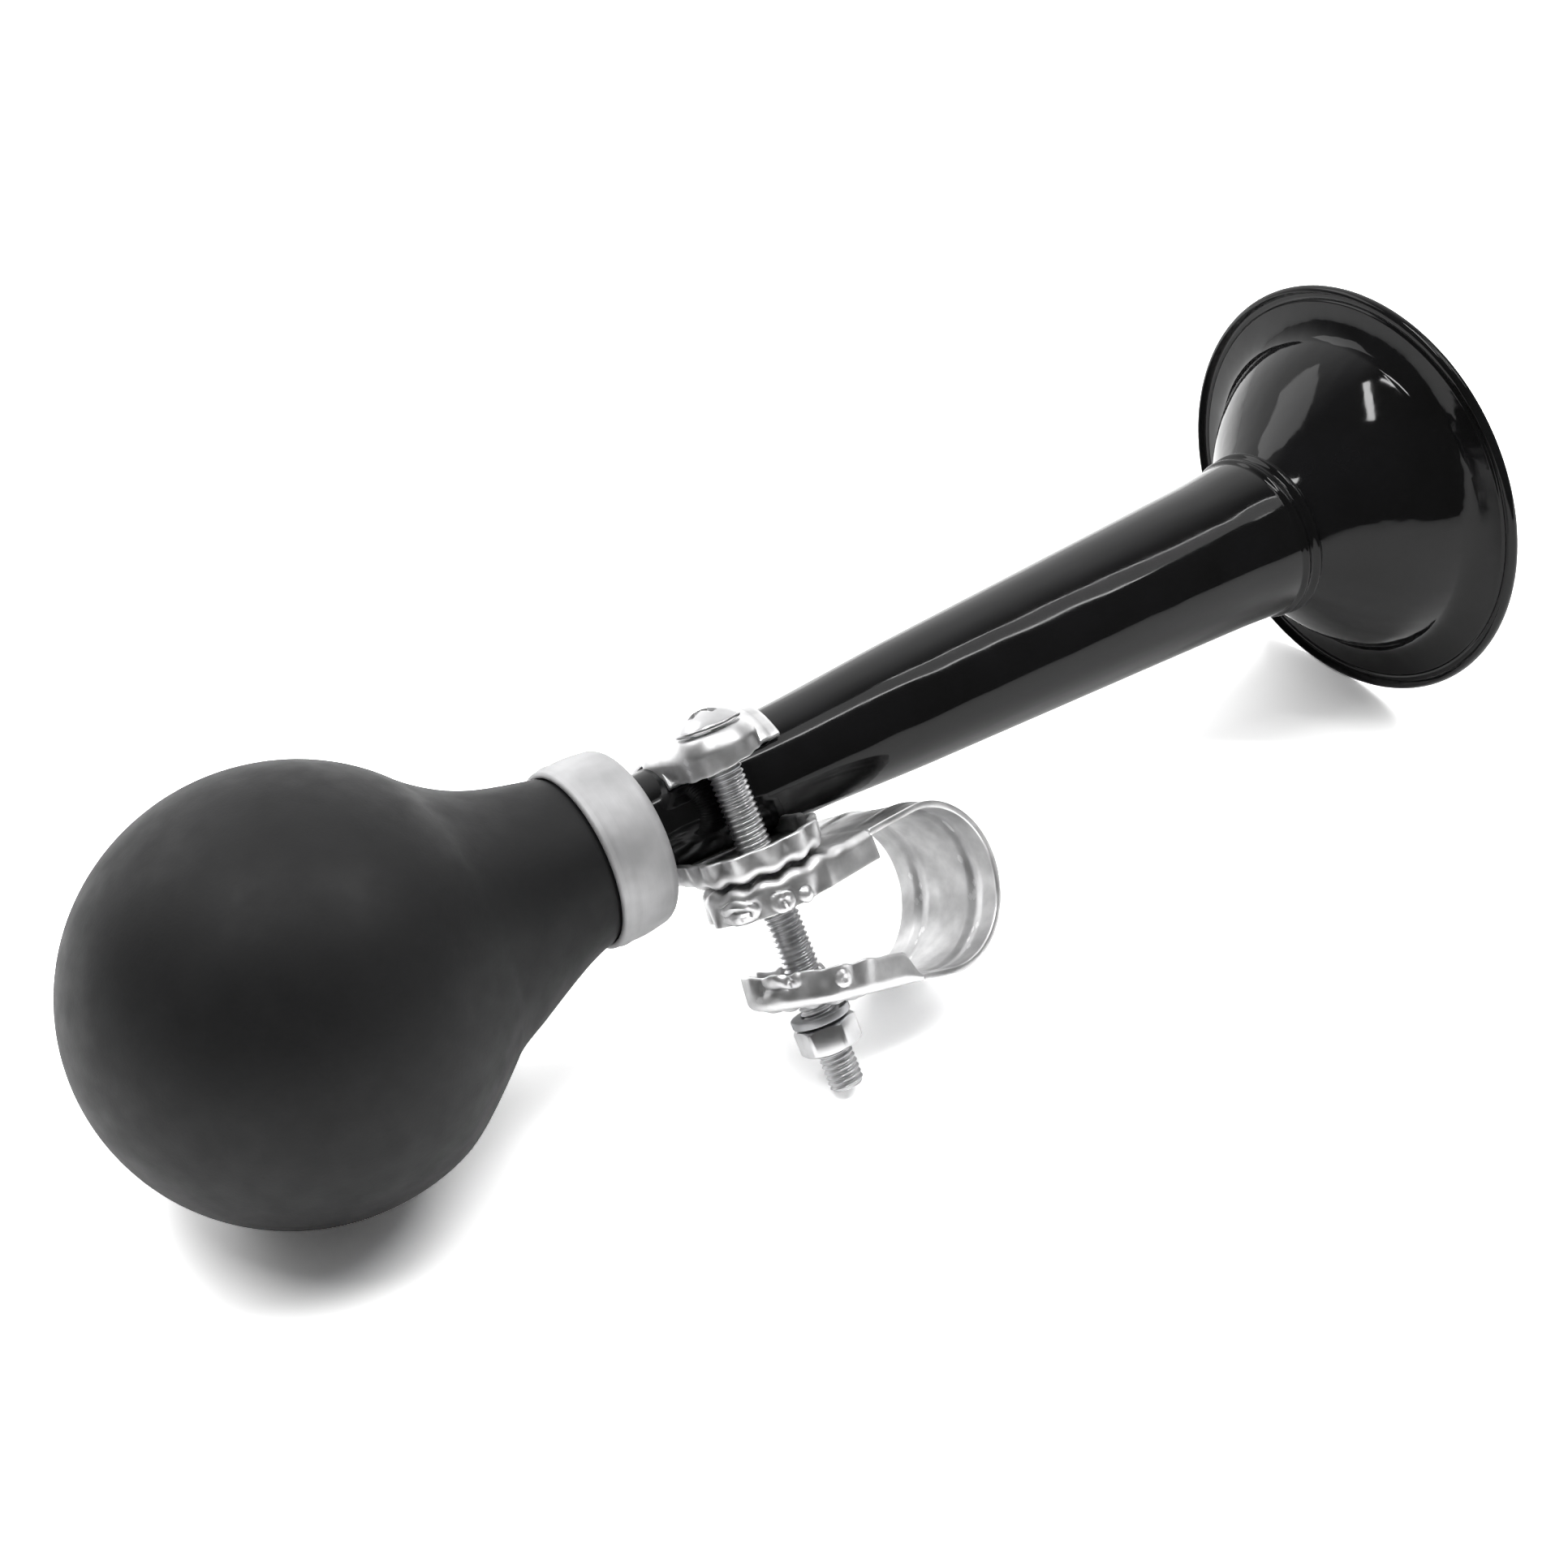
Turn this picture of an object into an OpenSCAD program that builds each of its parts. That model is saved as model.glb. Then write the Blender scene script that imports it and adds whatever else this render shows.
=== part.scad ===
// Bicycle horn: rubber squeeze bulb, reed, tapered tube and flared bell,
// with a two-strap handlebar clamp on one bolt.
//
// Everything is drawn in the horn's own frame: X runs along the horn from the
// bulb's centre to the bell, Z runs along the clamp bolt towards its head, and
// the bolt stands on the -Y side of the tube. The last step lays the horn on
// the surface z = 0, on its bulb, its bell rim and the end of its bolt.

/* [Bulb] */
// Outside radius of the bulb
bulb_r = 30; // [26:0.5:34]
// Thickness of the bulb's rubber
bulb_wall = 2.5; // [1.5:0.1:3.5]
// Outside radius of the bulb's neck
bulb_neck_r = 12.2; // [11:0.1:13]
// Radius of the hollow curve between bulb and neck
bulb_blend_r = 26; // [16:1:34]

/* [Neck ring] */
// Length of the metal ring round the bulb's neck
ring_len = 9.5; // [6:0.5:14]
// Wall of the metal ring
ring_wall = 0.8; // [0.5:0.1:1.2]
// Radius of the ring's rounded shoulder
ring_round = 1.2; // [0.8:0.1:2]

/* [Tube] */
// Outside radius of the tube at its bulb end
tube_r_small = 6.7; // [6:0.1:8]
// Outside radius of the tube at its bell end
tube_r_big = 12.3; // [10:0.1:14]
// Length of the tube
tube_len = 133.2; // [110:0.2:170]
// Sheet thickness of the tube
tube_wall = 0.6; // [0.4:0.1:1]
// How far the tube reaches into the bulb past the neck ring
tube_reach = 3.5; // [2:0.5:8]

/* [Bell] */
// Radius of the bell's rim
bell_r = 34.4; // [28:0.2:42]
// Length of the bell from its collar to its rim
bell_len = 20; // [16:0.5:30]
// Radius at which the bowl turns into the flared lip
bell_bowl_r = 26.2; // [20:0.2:28]
// Depth of the flared lip
bell_lip_len = 3.6; // [2:0.2:6]
// Sheet thickness of the bell
bell_wall = 0.8; // [0.5:0.1:1.2]
// Radius of the rolled bead on the rim
bell_bead_r = 0.9; // [0.6:0.1:1.2]
// Length of the sleeve that holds the tube's end
bell_sleeve = 4; // [3:0.5:8]

/* [Reed] */
// Outside radius of the brass reed trough
shallot_r = 3.9; // [3:0.1:4.5]
// Wall of the brass reed trough
shallot_wall = 0.7; // [0.4:0.1:1]
// Length of the reed trough outside its holder
shallot_len = 24; // [16:1:28]
// Thickness of the reed tongue
tongue_t = 0.25; // [0.15:0.05:0.4]
// Width of the reed tongue
tongue_w = 6; // [4:0.5:7]
// Gap between the tongue and the trough's flat face
tongue_gap = 0.5; // [0.3:0.05:0.8]

/* [Clamp bolt] */
// Distance from the horn's axis to the bolt
bolt_y = 11.5; // [11:0.1:14]
// Radius of the bolt's thread
bolt_r = 2.5; // [2:0.1:3]
// Length of the bolt under its head
bolt_len = 53.2; // [48:0.5:60]
// Slack between the bolt's head and the strap
bolt_slack = 1.2; // [0.3:0.1:2]
// Radius of the bolt's head
bolt_head_r = 4.8; // [4:0.1:6]
// Height of the bolt's head
bolt_head_h = 2.8; // [2.2:0.1:4]

/* [Nut and washer] */
// Width of the nut across its flats
nut_af = 8; // [7:0.5:10]
// Height of the nut
nut_h = 4; // [3:0.1:5]
// Thickness of the spring washer's wire
washer_t = 1.2; // [0.8:0.1:1.3]
// Width of the spring washer's wire
washer_w = 2; // [1.5:0.1:2.2]
// Free height of the spring washer
washer_h = 1.6; // [1.5:0.1:3]

/* [Straps] */
// Sheet thickness of both straps
strap_t = 1; // [0.8:0.1:1.4]
// Gap between the neck ring and the strap round the tube
strap_gap = 1.2; // [0.8:0.1:4]
// Length of the band round the tube
band_len = 23.4; // [21:0.2:26]
// Angle by which the band reaches past the top of the tube on the bolt's side
band_wrap = 56; // [20:1:58]
// Radius of the tab under the bolt's head
tab_r = 6; // [5.6:0.1:7]
// Radius of the round toothed ears, half the width of the handlebar strap
ear_r = 9.2; // [8.6:0.1:10]
// Depth of the turned edge round the horn strap's ears
flange_h = 3.2; // [2.4:0.1:4]
// Depth of the turned edge round the handlebar strap's ears
bar_flange_h = 4.2; // [3:0.1:4.6]
// How far the turned edge runs past the bolt towards the loop
flange_reach = 12.5; // [8:0.5:14]
// Radius of the handlebar that the loop holds
bar_r = 11.1; // [10:0.1:12.7]
// Distance from the bolt to the middle of the loop
loop_reach = 20.2; // [18:0.2:24]
// How far the loop is wider than its legs, on each side
loop_flare = 0.7; // [0.4:0.1:1.2]
// Slope of the strap's lower leg
leg_slope = 15; // [8:1:16]
// Angle by which the handlebar strap is swung round the bolt
strap_swing = 14; // [0:1:30]
// Number of teeth round an ear
tooth_count = 12; // [8:1:16]
// Radius of each rounded tooth
tooth_r = 0.5; // [0.4:0.05:0.8]
// Height of the two beads pressed into the loop
bead_h = 0.45; // [0.3:0.05:0.6]
// Radius of each bead's rounded crest
bead_r = 2.2; // [1.8:0.1:2.6]

/* [Hidden] */
$fn = 96;
eps = 0.01;

// Clearances
neck_play = 0.15;
strap_play = 0.15;
hole_play = 0.4;
thread_play = 0.1;
bar_play = 0.1;
stack_gap = 0.1;
band_lead = 0.9;
tooth_play = 0.3;
reed_play = 0.15;
sleeve_play = 0.02;

// Where two shapes of one strap join, they lap, and their faces stand a little
// apart so that none lie in one plane
joint_lap = 0.5;
joint_step = 0.02;

// Places along the horn's axis
blend_x = sqrt(pow(bulb_r + bulb_blend_r, 2) - pow(bulb_neck_r + bulb_blend_r, 2));
ring_x0 = blend_x + 0.5;
ring_x1 = ring_x0 + ring_len;
ring_r = bulb_neck_r + ring_wall;
tube_x0 = ring_x0 - tube_reach;
tube_x1 = tube_x0 + tube_len;
rim_x = tube_x1 + bell_len;
neck_end_x = ring_x1 - ring_wall - 0.5;

// Outside radius of the tube at x
tube_slope = (tube_r_big - tube_r_small) / tube_len;
function tube_r(x) = tube_r_small + tube_slope * (x - tube_x0);
tube_bead_r = 0.55;

// Reed
holder_len = 9;
holder_lip = 1.4;
holder_x0 = tube_x0 - holder_lip;
holder_x1 = tube_x0 + holder_len;
shallot_x0 = holder_x0 - shallot_len;
shallot_flat = 0.4;
tongue_z = shallot_flat + tongue_gap;
tongue_root = holder_x0 + 3;
tongue_tip = shallot_x0 + 1.5;
wedge_x0 = holder_x0 - 3;

// Straps: the tab and the ear lie flat above and below the tube, each just
// clear of its thickest part under them
band_x0 = ring_x1 + strap_gap;
bolt_x = band_x0 + band_lead + ear_r;
tab_z = tube_r(bolt_x + tab_r) + strap_play + joint_step;
ear_z = tube_r(bolt_x + ear_r) + strap_play + joint_step;
hole_r = bolt_r + hole_play;
loop_r = bar_r + bar_play;
loop_out = loop_r + strap_t;
loop_top = ear_z + strap_t + 2 * tooth_r + tooth_play;
loop_z = -loop_top - loop_out;
loop_w = 2 * (ear_r + loop_flare);
bead_x = loop_w * 0.28;
tooth_in = bolt_r + thread_play + washer_w + 0.3;
tooth_out = ear_r - strap_t - 0.4;

// The lower leg leaves the loop on a tangent and climbs to the bolt, where
// leg_z is the height of its underside
leg_z = loop_z - loop_out * cos(leg_slope)
      + tan(leg_slope) * (loop_reach - loop_out * sin(leg_slope));
slant_hole_r = hole_r + 0.4;

// Bolt, washer and nut
bolt_head_z = tab_z + strap_t + bolt_slack;
bolt_end_z = bolt_head_z - bolt_len;
bolt_chamfer = 0.5;
recess_w = 1.2;
recess_depth = 1.5;
head_rim = 0.6;
washer_r0 = bolt_r + thread_play;
washer_r1 = washer_r0 + washer_w;
washer_z1 = leg_z - washer_r1 * tan(leg_slope) - stack_gap;
washer_z0 = washer_z1 - washer_h;
nut_z1 = washer_z0 - 0.05;
nut_r = nut_af / 2 / cos(30);

// How the horn lies: the roll that brings the bolt's end down to the surface,
// and the pitch that lifts the axis at the bell to the height of its rim
rest_pitch = atan((bell_r - bulb_r) / rim_x);
tip_y = bolt_y - (bolt_r - bolt_chamfer);
tip_h = bulb_r + bolt_x * tan(rest_pitch);
rest_roll = acos(tip_h / norm([bolt_end_z, tip_y])) - atan(tip_y / -bolt_end_z);
rest_shift_x = -(rim_x - bulb_r) / 2;

// Points on a cubic curve, n steps from a to d with handles b and c
function curve(a, b, c, d, n) = [for (i = [0:n]) let (t = i / n, s = 1 - t)
    s * s * s * a + 3 * s * s * t * b + 3 * s * t * t * c + t * t * t * d];

// A line of points moved sideways by d, to the right of its direction
function beside(p, d) = [for (i = [0:len(p) - 1])
    let (v = p[min(i + 1, len(p) - 1)] - p[max(i - 1, 0)])
    p[i] + d * [v[1], -v[0]] / norm(v)];

function reversed(p) = [for (i = [len(p) - 1:-1:0]) p[i]];

// Lays the horn down from its own frame
module lying() {
    translate([rest_shift_x, 0, bulb_r])
        rotate([0, -rest_pitch, 0])
            rotate([-rest_roll, 0, 0])
                children();
}

// Turns a profile of (radius, place along the axis) about the horn's axis
module turned() {
    rotate([0, 90, 0]) rotate_extrude() children();
}

// Puts the children on the bolt's axis
module at_bolt() {
    translate([bolt_x, -bolt_y, 0]) children();
}

// Half outline of the bulb, drawn in by inset: a ball and the hollow curve
// that leads from it to the neck
module bulb_outline(inset) {
    side = bulb_neck_r + bulb_blend_r;
    touch = bulb_r / (bulb_r + bulb_blend_r);
    circle(bulb_r - inset);
    difference() {
        polygon([[0, 0], [side * touch, blend_x * touch], [side, blend_x], [0, blend_x]]);
        translate([side, blend_x]) circle(bulb_blend_r + inset);
    }
}

module bulb() {
    neck = bulb_neck_r - neck_play;
    color("#1c1c1d") lying() turned() difference() {
        union() {
            intersection() {
                bulb_outline(0);
                translate([0, -bulb_r]) square([bulb_r, blend_x + bulb_r]);
            }
            translate([0, blend_x - eps]) square([neck, neck_end_x - blend_x + eps]);
        }
        intersection() {
            bulb_outline(bulb_wall);
            translate([0, -bulb_r]) square([bulb_r, blend_x + bulb_r]);
        }
        polygon([[0, tube_x0 - 1], [tube_r(tube_x0) + neck_play, tube_x0 - 1],
                 [tube_r(neck_end_x + 1) + neck_play, neck_end_x + 1],
                 [0, neck_end_x + 1]]);
    }
}

// Metal cup soldered to the tube, closed round it on the side of the bell
module neck_ring() {
    color("#b9bbbd") lying() turned() difference() {
        union() {
            translate([0, ring_x0]) square([ring_r, ring_len - ring_round]);
            translate([0, ring_x0]) square([ring_r - ring_round, ring_len]);
            translate([ring_r - ring_round, ring_x1 - ring_round]) circle(ring_round);
        }
        translate([0, ring_x0 - 1]) square([bulb_neck_r, ring_len - ring_wall + 1]);
        polygon([[0, ring_x0 - 1], [tube_r(ring_x0 - 1), ring_x0 - 1],
                 [tube_r(ring_x1 + 1), ring_x1 + 1], [0, ring_x1 + 1]]);
    }
}

// Tapered tube with a bead rolled round the end that holds the bell
module horn_tube() {
    color("#141415") lying() turned() difference() {
        union() {
            polygon([[0, tube_x0], [tube_r_small, tube_x0],
                     [tube_r_big, tube_x1], [0, tube_x1]]);
            translate([tube_r_big, tube_x1 - tube_bead_r]) circle(tube_bead_r, $fn = 32);
        }
        polygon([[0, tube_x0 - 1], [tube_r(tube_x0 - 1) - tube_wall, tube_x0 - 1],
                 [tube_r(tube_x1 + 1) - tube_wall, tube_x1 + 1], [0, tube_x1 + 1]]);
    }
}

// Outside of the bell from its neck to the rim: a slightly domed cone, then a
// hollow turn into the flared lip
function bell_line() = let (
    neck = [tube_r_big + 0.1, tube_x1 + sleeve_play],
    bowl = [bell_bowl_r, rim_x - bell_lip_len],
    rim = [bell_r - bell_bead_r, rim_x - bell_bead_r],
    out = bowl[0] - neck[0],
    along = bowl[1] - neck[1],
    lip = rim[0] - bowl[0])
    concat(curve(neck, neck + [0.28 * out, 0.32 * along],
                 bowl - [0.25 * out, 0.42 * along], bowl, 14),
           after_first(curve(bowl, bowl + [0.14 * lip, 0.4 * bell_lip_len],
                             rim - [0.6 * lip, 0.16 * bell_lip_len], rim, 10)));

function after_first(p) = [for (i = [1:len(p) - 1]) p[i]];

module bell() {
    line = bell_line();
    sleeve_r = tube_r_big - tube_wall - sleeve_play;
    sleeve_in = sleeve_r - bell_wall;
    color("#141415") lying() turned() {
        polygon(concat(line, reversed(beside(line, -bell_wall))));
        translate([bell_r - bell_bead_r, rim_x - bell_bead_r]) circle(bell_bead_r, $fn = 48);
        polygon([[sleeve_in, tube_x1 - bell_sleeve],
                 [sleeve_r - tube_slope * bell_sleeve, tube_x1 - bell_sleeve],
                 [sleeve_r, tube_x1], [line[1][0], line[1][1]],
                 [sleeve_in, line[1][1]]]);
    }
}

// Plug in the tube's end that carries the reed
module reed_holder() {
    seat_x = tube_x0 - sleeve_play;
    r0 = tube_r(seat_x) - tube_wall - sleeve_play;
    r1 = tube_r(holder_x1) - tube_wall - sleeve_play;
    color("#d8d2c0") lying() turned() difference() {
        union() {
            translate([0, holder_x0]) square([tube_r_small, seat_x - holder_x0]);
            polygon([[0, holder_x0], [r0, seat_x], [r1, holder_x1], [0, holder_x1]]);
        }
        translate([0, holder_x0 - 1]) square([shallot_r, holder_len + holder_lip + 2]);
    }
}

// Rod along the horn's axis from x0 to x1
module rod(r, x0, x1) {
    translate([x0, 0, 0]) rotate([0, 90, 0]) cylinder(r = r, h = x1 - x0);
}

// Block along the horn's axis, w wide, from height z0 up to z1
module bar(x0, x1, w, z0, z1) {
    translate([x0, -w / 2, z0]) cube([x1 - x0, w, z1 - z0]);
}

// Brass trough, open upwards under the tongue and a full pipe in its holder
module reed_shallot() {
    color("#b08d45") lying() difference() {
        rod(shallot_r, shallot_x0, holder_x1);
        rod(shallot_r - shallot_wall, shallot_x0 + shallot_wall, holder_x1 + 1);
        bar(shallot_x0 - 1, tongue_root + reed_play, 3 * shallot_r, shallot_flat,
            2 * shallot_r);
    }
}

module reed_tongue() {
    color("#c9a557") lying()
        bar(tongue_tip, tongue_root, tongue_w, tongue_z, tongue_z + tongue_t);
}

// Half-round wedge that holds the tongue's root down in the holder
module reed_wedge() {
    color("#b08d45") lying() intersection() {
        rod(shallot_r, wedge_x0, tongue_root);
        bar(wedge_x0 - 1, tongue_root + 1, 3 * shallot_r,
            tongue_z + tongue_t + reed_play, 2 * shallot_r);
    }
}

// Rounded teeth that stand out of a flat face round a bolt hole
module teeth() {
    for (i = [0:tooth_count - 1])
        rotate([0, 0, (i + 0.5) * 360 / tooth_count])
            translate([tooth_in, 0, 0]) rotate([0, 90, 0])
                cylinder(r = tooth_r, h = tooth_out - tooth_in, $fn = 24);
}

// Plan of a strap's end of radius r: a half disc round the bolt and straight
// sides that run on to x = reach
module ear_plan(r, reach) {
    circle(r);
    translate([0, -r]) square([reach, 2 * r]);
}

// One ear of the horn strap, its inner face on z = 0 and its edge turned back
// towards the tube; it runs along Y from the bolt over the tube
module horn_ear(r) {
    difference() {
        rotate([0, 0, 90]) {
            linear_extrude(strap_t) ear_plan(r, bolt_y);
            translate([0, 0, strap_t - flange_h]) linear_extrude(flange_h) difference() {
                ear_plan(r, 1);
                ear_plan(r - strap_t, 2);
                translate([1, -r]) square(2 * r);
            }
        }
        translate([0, 0, -1]) cylinder(r = hole_r, h = strap_t + 2);
    }
}

// Tapered band round the far side of the tube and over its top; its edge on the
// side of the bulb slants from the ear's width to the narrower tab's
module horn_band() {
    x1 = band_x0 + band_len;
    r0 = tube_r(band_x0) + strap_play;
    r1 = tube_r(x1) + strap_play;
    slant = atan((band_lead + ear_r - tab_r + joint_lap) / (2 * r0));
    difference() {
        rotate([0, 90, 0]) rotate_extrude(angle = 180 + band_wrap) polygon([
            [r0, band_x0], [r0 + strap_t, band_x0], [r1 + strap_t, x1], [r1, x1]]);
        translate([band_x0, 0, -r0 - strap_t]) rotate([0, slant, 0])
            translate([-band_len, -band_len, 0]) cube([band_len, 2 * band_len, 2 * band_len]);
    }
}

module horn_strap() {
    color("#c4c6c8") lying() {
        horn_band();
        at_bolt() translate([0, 0, tab_z]) horn_ear(tab_r);
        at_bolt() mirror([0, 0, 1]) translate([0, 0, ear_z]) {
            horn_ear(ear_r);
            translate([0, 0, strap_t]) teeth();
        }
    }
}

// Ear and leg of the handlebar strap: the plate's upper face lies on z = 0 and
// its edge is turned down; it runs along X from the bolt and laps over the loop
// that begins at x = reach, and the turned edge ends clear of the bar
module bar_ear(reach) {
    translate([0, 0, -strap_t - joint_step])
        linear_extrude(strap_t + 2 * joint_step) ear_plan(ear_r, reach + joint_lap);
    difference() {
        translate([0, 0, -bar_flange_h]) linear_extrude(bar_flange_h + joint_step) difference() {
            ear_plan(ear_r, flange_reach);
            ear_plan(ear_r - strap_t, flange_reach + 1);
        }
        translate([reach, 0, -loop_out]) rotate([90, 0, 0])
            cylinder(r = loop_r + joint_step, h = 4 * ear_r, center = true);
    }
    teeth();
}

// Sections of the loop's two beads, which stand out of a wall at radius wall_r
module beads(wall_r) {
    for (s = [-1, 1])
        translate([wall_r + bead_h - bead_r, s * bead_x]) circle(bead_r, $fn = 64);
}

// The loop, open towards the bolt, with two beads pressed outwards
module bar_loop() {
    rotate([90, 0, 0]) rotate([0, 0, -90 - leg_slope])
        rotate_extrude(angle = 180 + leg_slope) difference() {
            union() {
                translate([loop_r, -loop_w / 2]) square([strap_t, loop_w]);
                intersection() {
                    beads(loop_out);
                    translate([loop_r + strap_t / 2, -ear_r]) square([2 * strap_t, 2 * ear_r]);
                }
            }
            beads(loop_r);
        }
}

module handlebar_strap() {
    leg_len = (loop_reach - loop_out * sin(leg_slope)) / cos(leg_slope);
    color("#c4c6c8") lying() at_bolt() rotate([0, 0, strap_swing]) difference() {
        union() {
            translate([0, 0, -loop_top]) bar_ear(loop_reach);
            translate([loop_reach, 0, loop_z]) bar_loop();
            translate([0, 0, leg_z]) rotate([0, leg_slope, 0])
                mirror([0, 0, 1]) bar_ear(leg_len);
        }
        translate([0, 0, -loop_top - strap_t - 1])
            cylinder(r = hole_r, h = strap_t + 2);
        translate([0, 0, leg_z - 2]) cylinder(r = slant_hole_r, h = 2 * strap_t + 4);
    }
}

// Round-headed bolt with a cross recess
module clamp_bolt() {
    dome_h = bolt_head_h - head_rim;
    crown = (bolt_head_r * bolt_head_r + dome_h * dome_h) / (2 * dome_h);
    color("#c9cbcd") lying() at_bolt() difference() {
        union() {
            translate([0, 0, bolt_end_z]) rotate_extrude() polygon([
                [0, 0], [bolt_r - bolt_chamfer, 0], [bolt_r, bolt_chamfer],
                [bolt_r, bolt_len + eps], [0, bolt_len + eps]]);
            translate([0, 0, bolt_head_z]) intersection() {
                cylinder(r = bolt_head_r, h = bolt_head_h);
                translate([0, 0, bolt_head_h - crown]) sphere(crown);
            }
        }
        for (a = [20, 110])
            translate([0, 0, bolt_head_z + bolt_head_h]) rotate([0, 0, a])
                cube([bolt_head_r, recess_w, 2 * recess_depth], center = true);
    }
}

// Spring washer: a square wire in one open turn that climbs from end to end
module lock_washer() {
    steps = 40;
    climb = washer_h - washer_t;
    sweep = 350;
    rings = [for (i = [0:steps]) let (a = sweep * i / steps, z = climb * i / steps)
        each [[washer_r0 * cos(a), washer_r0 * sin(a), z],
              [washer_r1 * cos(a), washer_r1 * sin(a), z],
              [washer_r1 * cos(a), washer_r1 * sin(a), z + washer_t],
              [washer_r0 * cos(a), washer_r0 * sin(a), z + washer_t]]];
    sides = [for (i = [0:steps - 1], k = [0:3])
        let (a = 4 * i + k, b = 4 * i + (k + 1) % 4) each [[a, b, b + 4], [a, b + 4, a + 4]]];
    last = 4 * steps;
    ends = [[0, 3, 2], [0, 2, 1], [last, last + 1, last + 2], [last, last + 2, last + 3]];
    color("#aeb0b2") lying() at_bolt() translate([0, 0, washer_z0])
        polyhedron(rings, concat(sides, ends));
}

module nut() {
    slope = tan(30);
    color("#c4c6c8") lying() at_bolt() translate([0, 0, nut_z1 - nut_h]) difference() {
        intersection() {
            cylinder(r = nut_r, h = nut_h, $fn = 6);
            rotate_extrude() polygon([
                [0, 0], [nut_af / 2, 0],
                [nut_r + 1, (nut_r + 1 - nut_af / 2) * slope],
                [nut_r + 1, nut_h - (nut_r + 1 - nut_af / 2) * slope],
                [nut_af / 2, nut_h], [0, nut_h]]);
        }
        translate([0, 0, -1]) cylinder(r = bolt_r + thread_play, h = nut_h + 2);
    }
}

bulb();
neck_ring();
horn_tube();
bell();
reed_holder();
reed_shallot();
reed_tongue();
reed_wedge();
horn_strap();
handlebar_strap();
clamp_bolt();
lock_washer();
nut();
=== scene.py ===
"""Bicycle horn, dressed on its CAD frame. Lengths are millimetres in the horn's own
frame, X along the horn from bulb to bell and Z along the clamp bolt, until place()
lays them down in the row frame in metres."""

import math

import bmesh
import bpy
import numpy as np
from mathutils import Matrix, Quaternion, Vector


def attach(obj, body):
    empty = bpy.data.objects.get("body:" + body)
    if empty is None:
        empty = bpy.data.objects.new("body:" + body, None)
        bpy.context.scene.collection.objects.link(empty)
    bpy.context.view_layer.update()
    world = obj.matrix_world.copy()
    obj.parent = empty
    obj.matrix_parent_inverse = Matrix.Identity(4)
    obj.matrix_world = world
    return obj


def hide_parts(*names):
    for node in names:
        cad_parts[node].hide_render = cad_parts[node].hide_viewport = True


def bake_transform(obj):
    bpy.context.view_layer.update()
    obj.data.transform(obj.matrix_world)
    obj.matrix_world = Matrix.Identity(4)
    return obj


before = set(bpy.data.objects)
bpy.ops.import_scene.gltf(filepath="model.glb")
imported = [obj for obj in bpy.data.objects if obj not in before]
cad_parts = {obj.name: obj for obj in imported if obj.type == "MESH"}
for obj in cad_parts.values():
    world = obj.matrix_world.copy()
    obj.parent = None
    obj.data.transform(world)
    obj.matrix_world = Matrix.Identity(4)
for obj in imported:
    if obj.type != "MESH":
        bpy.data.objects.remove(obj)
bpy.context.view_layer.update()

# Bulb
BULB_R = 30.0
BULB_WALL = 2.5
NECK_R = 12.2
BLEND_R = 26.0
NECK_GAP = 0.15

# Ring round the bulb's neck
RING_LEN = 9.5
RING_WALL = 0.8

# Tube, a cone that starts inside the bulb's neck, TUBE_REACH before the ring
TUBE_R0 = 6.7
TUBE_R1 = 12.3
TUBE_LEN = 133.2
TUBE_WALL = 0.6
TUBE_REACH = 3.5
# Its rolled ridges as (x, half width, height), and its fuller steps as (from x, to x, height)
RIDGES = ((168.0, 1.0, 0.5), (170.1, 1.05, 0.7))
FULLER = ((78, 100, 0.3), (158, 168, 0.25))

# Bell, a bowl with a flared lip and a rolled rim
BELL_R = 34.4
BELL_LEN = 20.0
BOWL_R = 26.2
LIP_LEN = 3.6
BELL_WALL = 0.8
BEAD_R = 0.9
SLEEVE_LEN = 4.0

# Clamp bolt, beside the tube at y = -BOLT_Y, with its nut and spring washer
BOLT_Y = 11.5
BOLT_R = 2.5
BOLT_LEN = 53.2
BOLT_TIP = 0.5
PITCH = 0.8
THREAD_DEPTH = 0.36
HEAD_R = 4.8
HEAD_H = 2.8
NUT_AF = 8.0
NUT_H = 4.0
WASHER_T = 1.2
WASHER_W = 2.0
WASHER_H = 1.6

# Straps, both of one sheet; an ear's turned edge is a flange, and TEETH go round an ear
STRAP_T = 1.0
STRAP_GAP = 0.17
BAND_GAP = 0.15
BAND_LEN = 23.4
BAND_WRAP = 56.0
TAB_R = 6.0
EAR_R = 9.2
EAR_BEND = 0.9
EAR_HOLE = 2.9
TEETH = 12
TOOTH_H = 0.55
FLANGE = 3.2
BAR_FLANGE = 4.2
FLANGE_REACH = 12.5

# Loop round the handlebar, with two beads; its lower leg slopes, and it is swung on the bolt
LOOP_R = 11.2
LOOP_REACH = 20.2
LOOP_WIDER = 0.7
LEG_HALF = 9.05
LEG_SLOPE = math.radians(15)
SWING = math.radians(14)
BEAD_V = 5.54
BEAD_HALF = 1.7
BEAD_H = 0.3

# Places along the horn
BLEND_X = math.sqrt((BULB_R + BLEND_R) ** 2 - (NECK_R + BLEND_R) ** 2)
RING_X0 = BLEND_X + 0.5
RING_X1 = RING_X0 + RING_LEN
RING_R = NECK_R + RING_WALL
NECK_END = RING_X1 - RING_WALL - 0.5
TUBE_X0 = RING_X0 - TUBE_REACH
TUBE_X1 = TUBE_X0 + TUBE_LEN
RIM_X = TUBE_X1 + BELL_LEN


def tube_r(x):
    """Outer radius of the tube's cone at x."""
    return TUBE_R0 + (TUBE_R1 - TUBE_R0) / TUBE_LEN * (x - TUBE_X0)


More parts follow.
